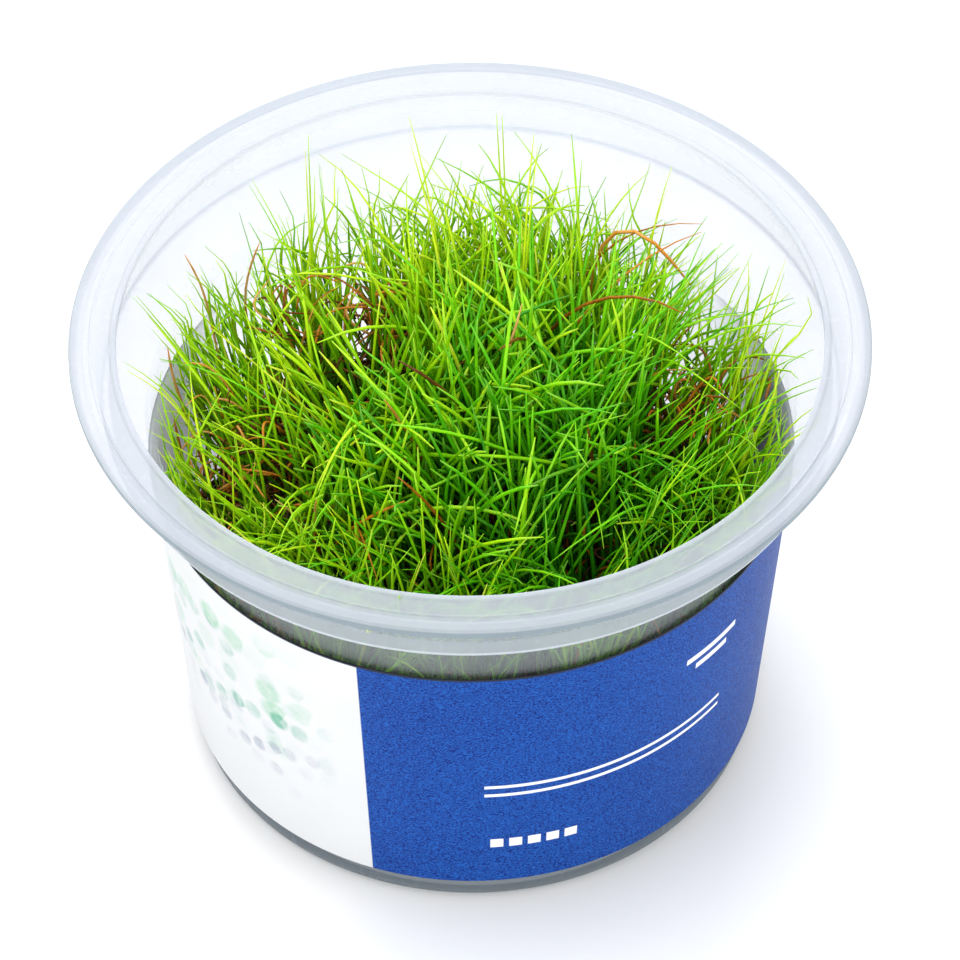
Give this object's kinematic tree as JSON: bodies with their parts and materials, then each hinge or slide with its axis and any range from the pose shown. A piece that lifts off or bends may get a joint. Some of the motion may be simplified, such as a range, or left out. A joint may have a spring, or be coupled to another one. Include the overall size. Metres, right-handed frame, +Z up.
{
  "type": "dwarf hairgrass in a growing cup",
  "caption": "Dense low tufts of fine grass-like aquarium plant growing from a root mat and gel in an open, clear plastic cup with a wide flange and a wrap-round label.",
  "frame": {"origin": "middle of the ring that the cup stands on", "axes": "+Z up along the cup's axis; -Y towards the front of the cup, and the gap between the label's ends is at +Y"},
  "size_m": [0.1, 0.1, 0.073],
  "materials": {
    "cup_plastic": "clear to milky moulded plastic, satin, see-through",
    "label_print": "printed satin film, a blue field and a white field",
    "growing_gel": "cloudy set gel",
    "old_roots": "matted brown roots and old stems",
    "grass_bright": "fresh yellow-green blades, slightly glossy",
    "grass_deep": "deeper green blades, slightly glossy"
  },
  "bodies": {
    "root": {"cup": "cup_plastic", "label": "label_print", "gel": "growing_gel", "root_mat": "old_roots", "tuft_01": "grass_deep", "tuft_02": "grass_bright", "tuft_03": "grass_deep", "tuft_04": "grass_deep", "tuft_05": "grass_bright", "tuft_06": "grass_deep", "tuft_07": "grass_bright", "tuft_08": "grass_deep", "tuft_09": "grass_deep", "tuft_10": "grass_bright", "tuft_11": "grass_deep", "tuft_12": "grass_bright", "tuft_13": "grass_bright", "tuft_14": "grass_deep", "tuft_15": "grass_bright", "tuft_16": "grass_deep", "tuft_17": "grass_bright", "tuft_18": "grass_bright", "tuft_19": "grass_deep", "tuft_20": "grass_bright", "tuft_21": "grass_bright", "tuft_22": "grass_bright", "tuft_23": "grass_bright", "tuft_24": "grass_deep", "tuft_25": "grass_bright", "tuft_26": "grass_bright", "tuft_27": "grass_deep", "tuft_28": "grass_bright", "tuft_29": "grass_bright", "tuft_30": "grass_bright", "tuft_31": "grass_bright", "tuft_32": "grass_deep", "tuft_33": "grass_bright", "tuft_34": "grass_bright", "tuft_35": "grass_bright", "tuft_36": "grass_bright", "tuft_37": "grass_bright", "tuft_38": "grass_bright", "tuft_39": "grass_bright", "tuft_40": "grass_bright", "tuft_41": "grass_bright", "tuft_42": "grass_bright", "tuft_43": "grass_bright", "tuft_44": "grass_bright", "tuft_45": "grass_bright", "tuft_46": "grass_bright", "tuft_47": "grass_bright", "tuft_48": "grass_bright"}
  },
  "joints": []
}
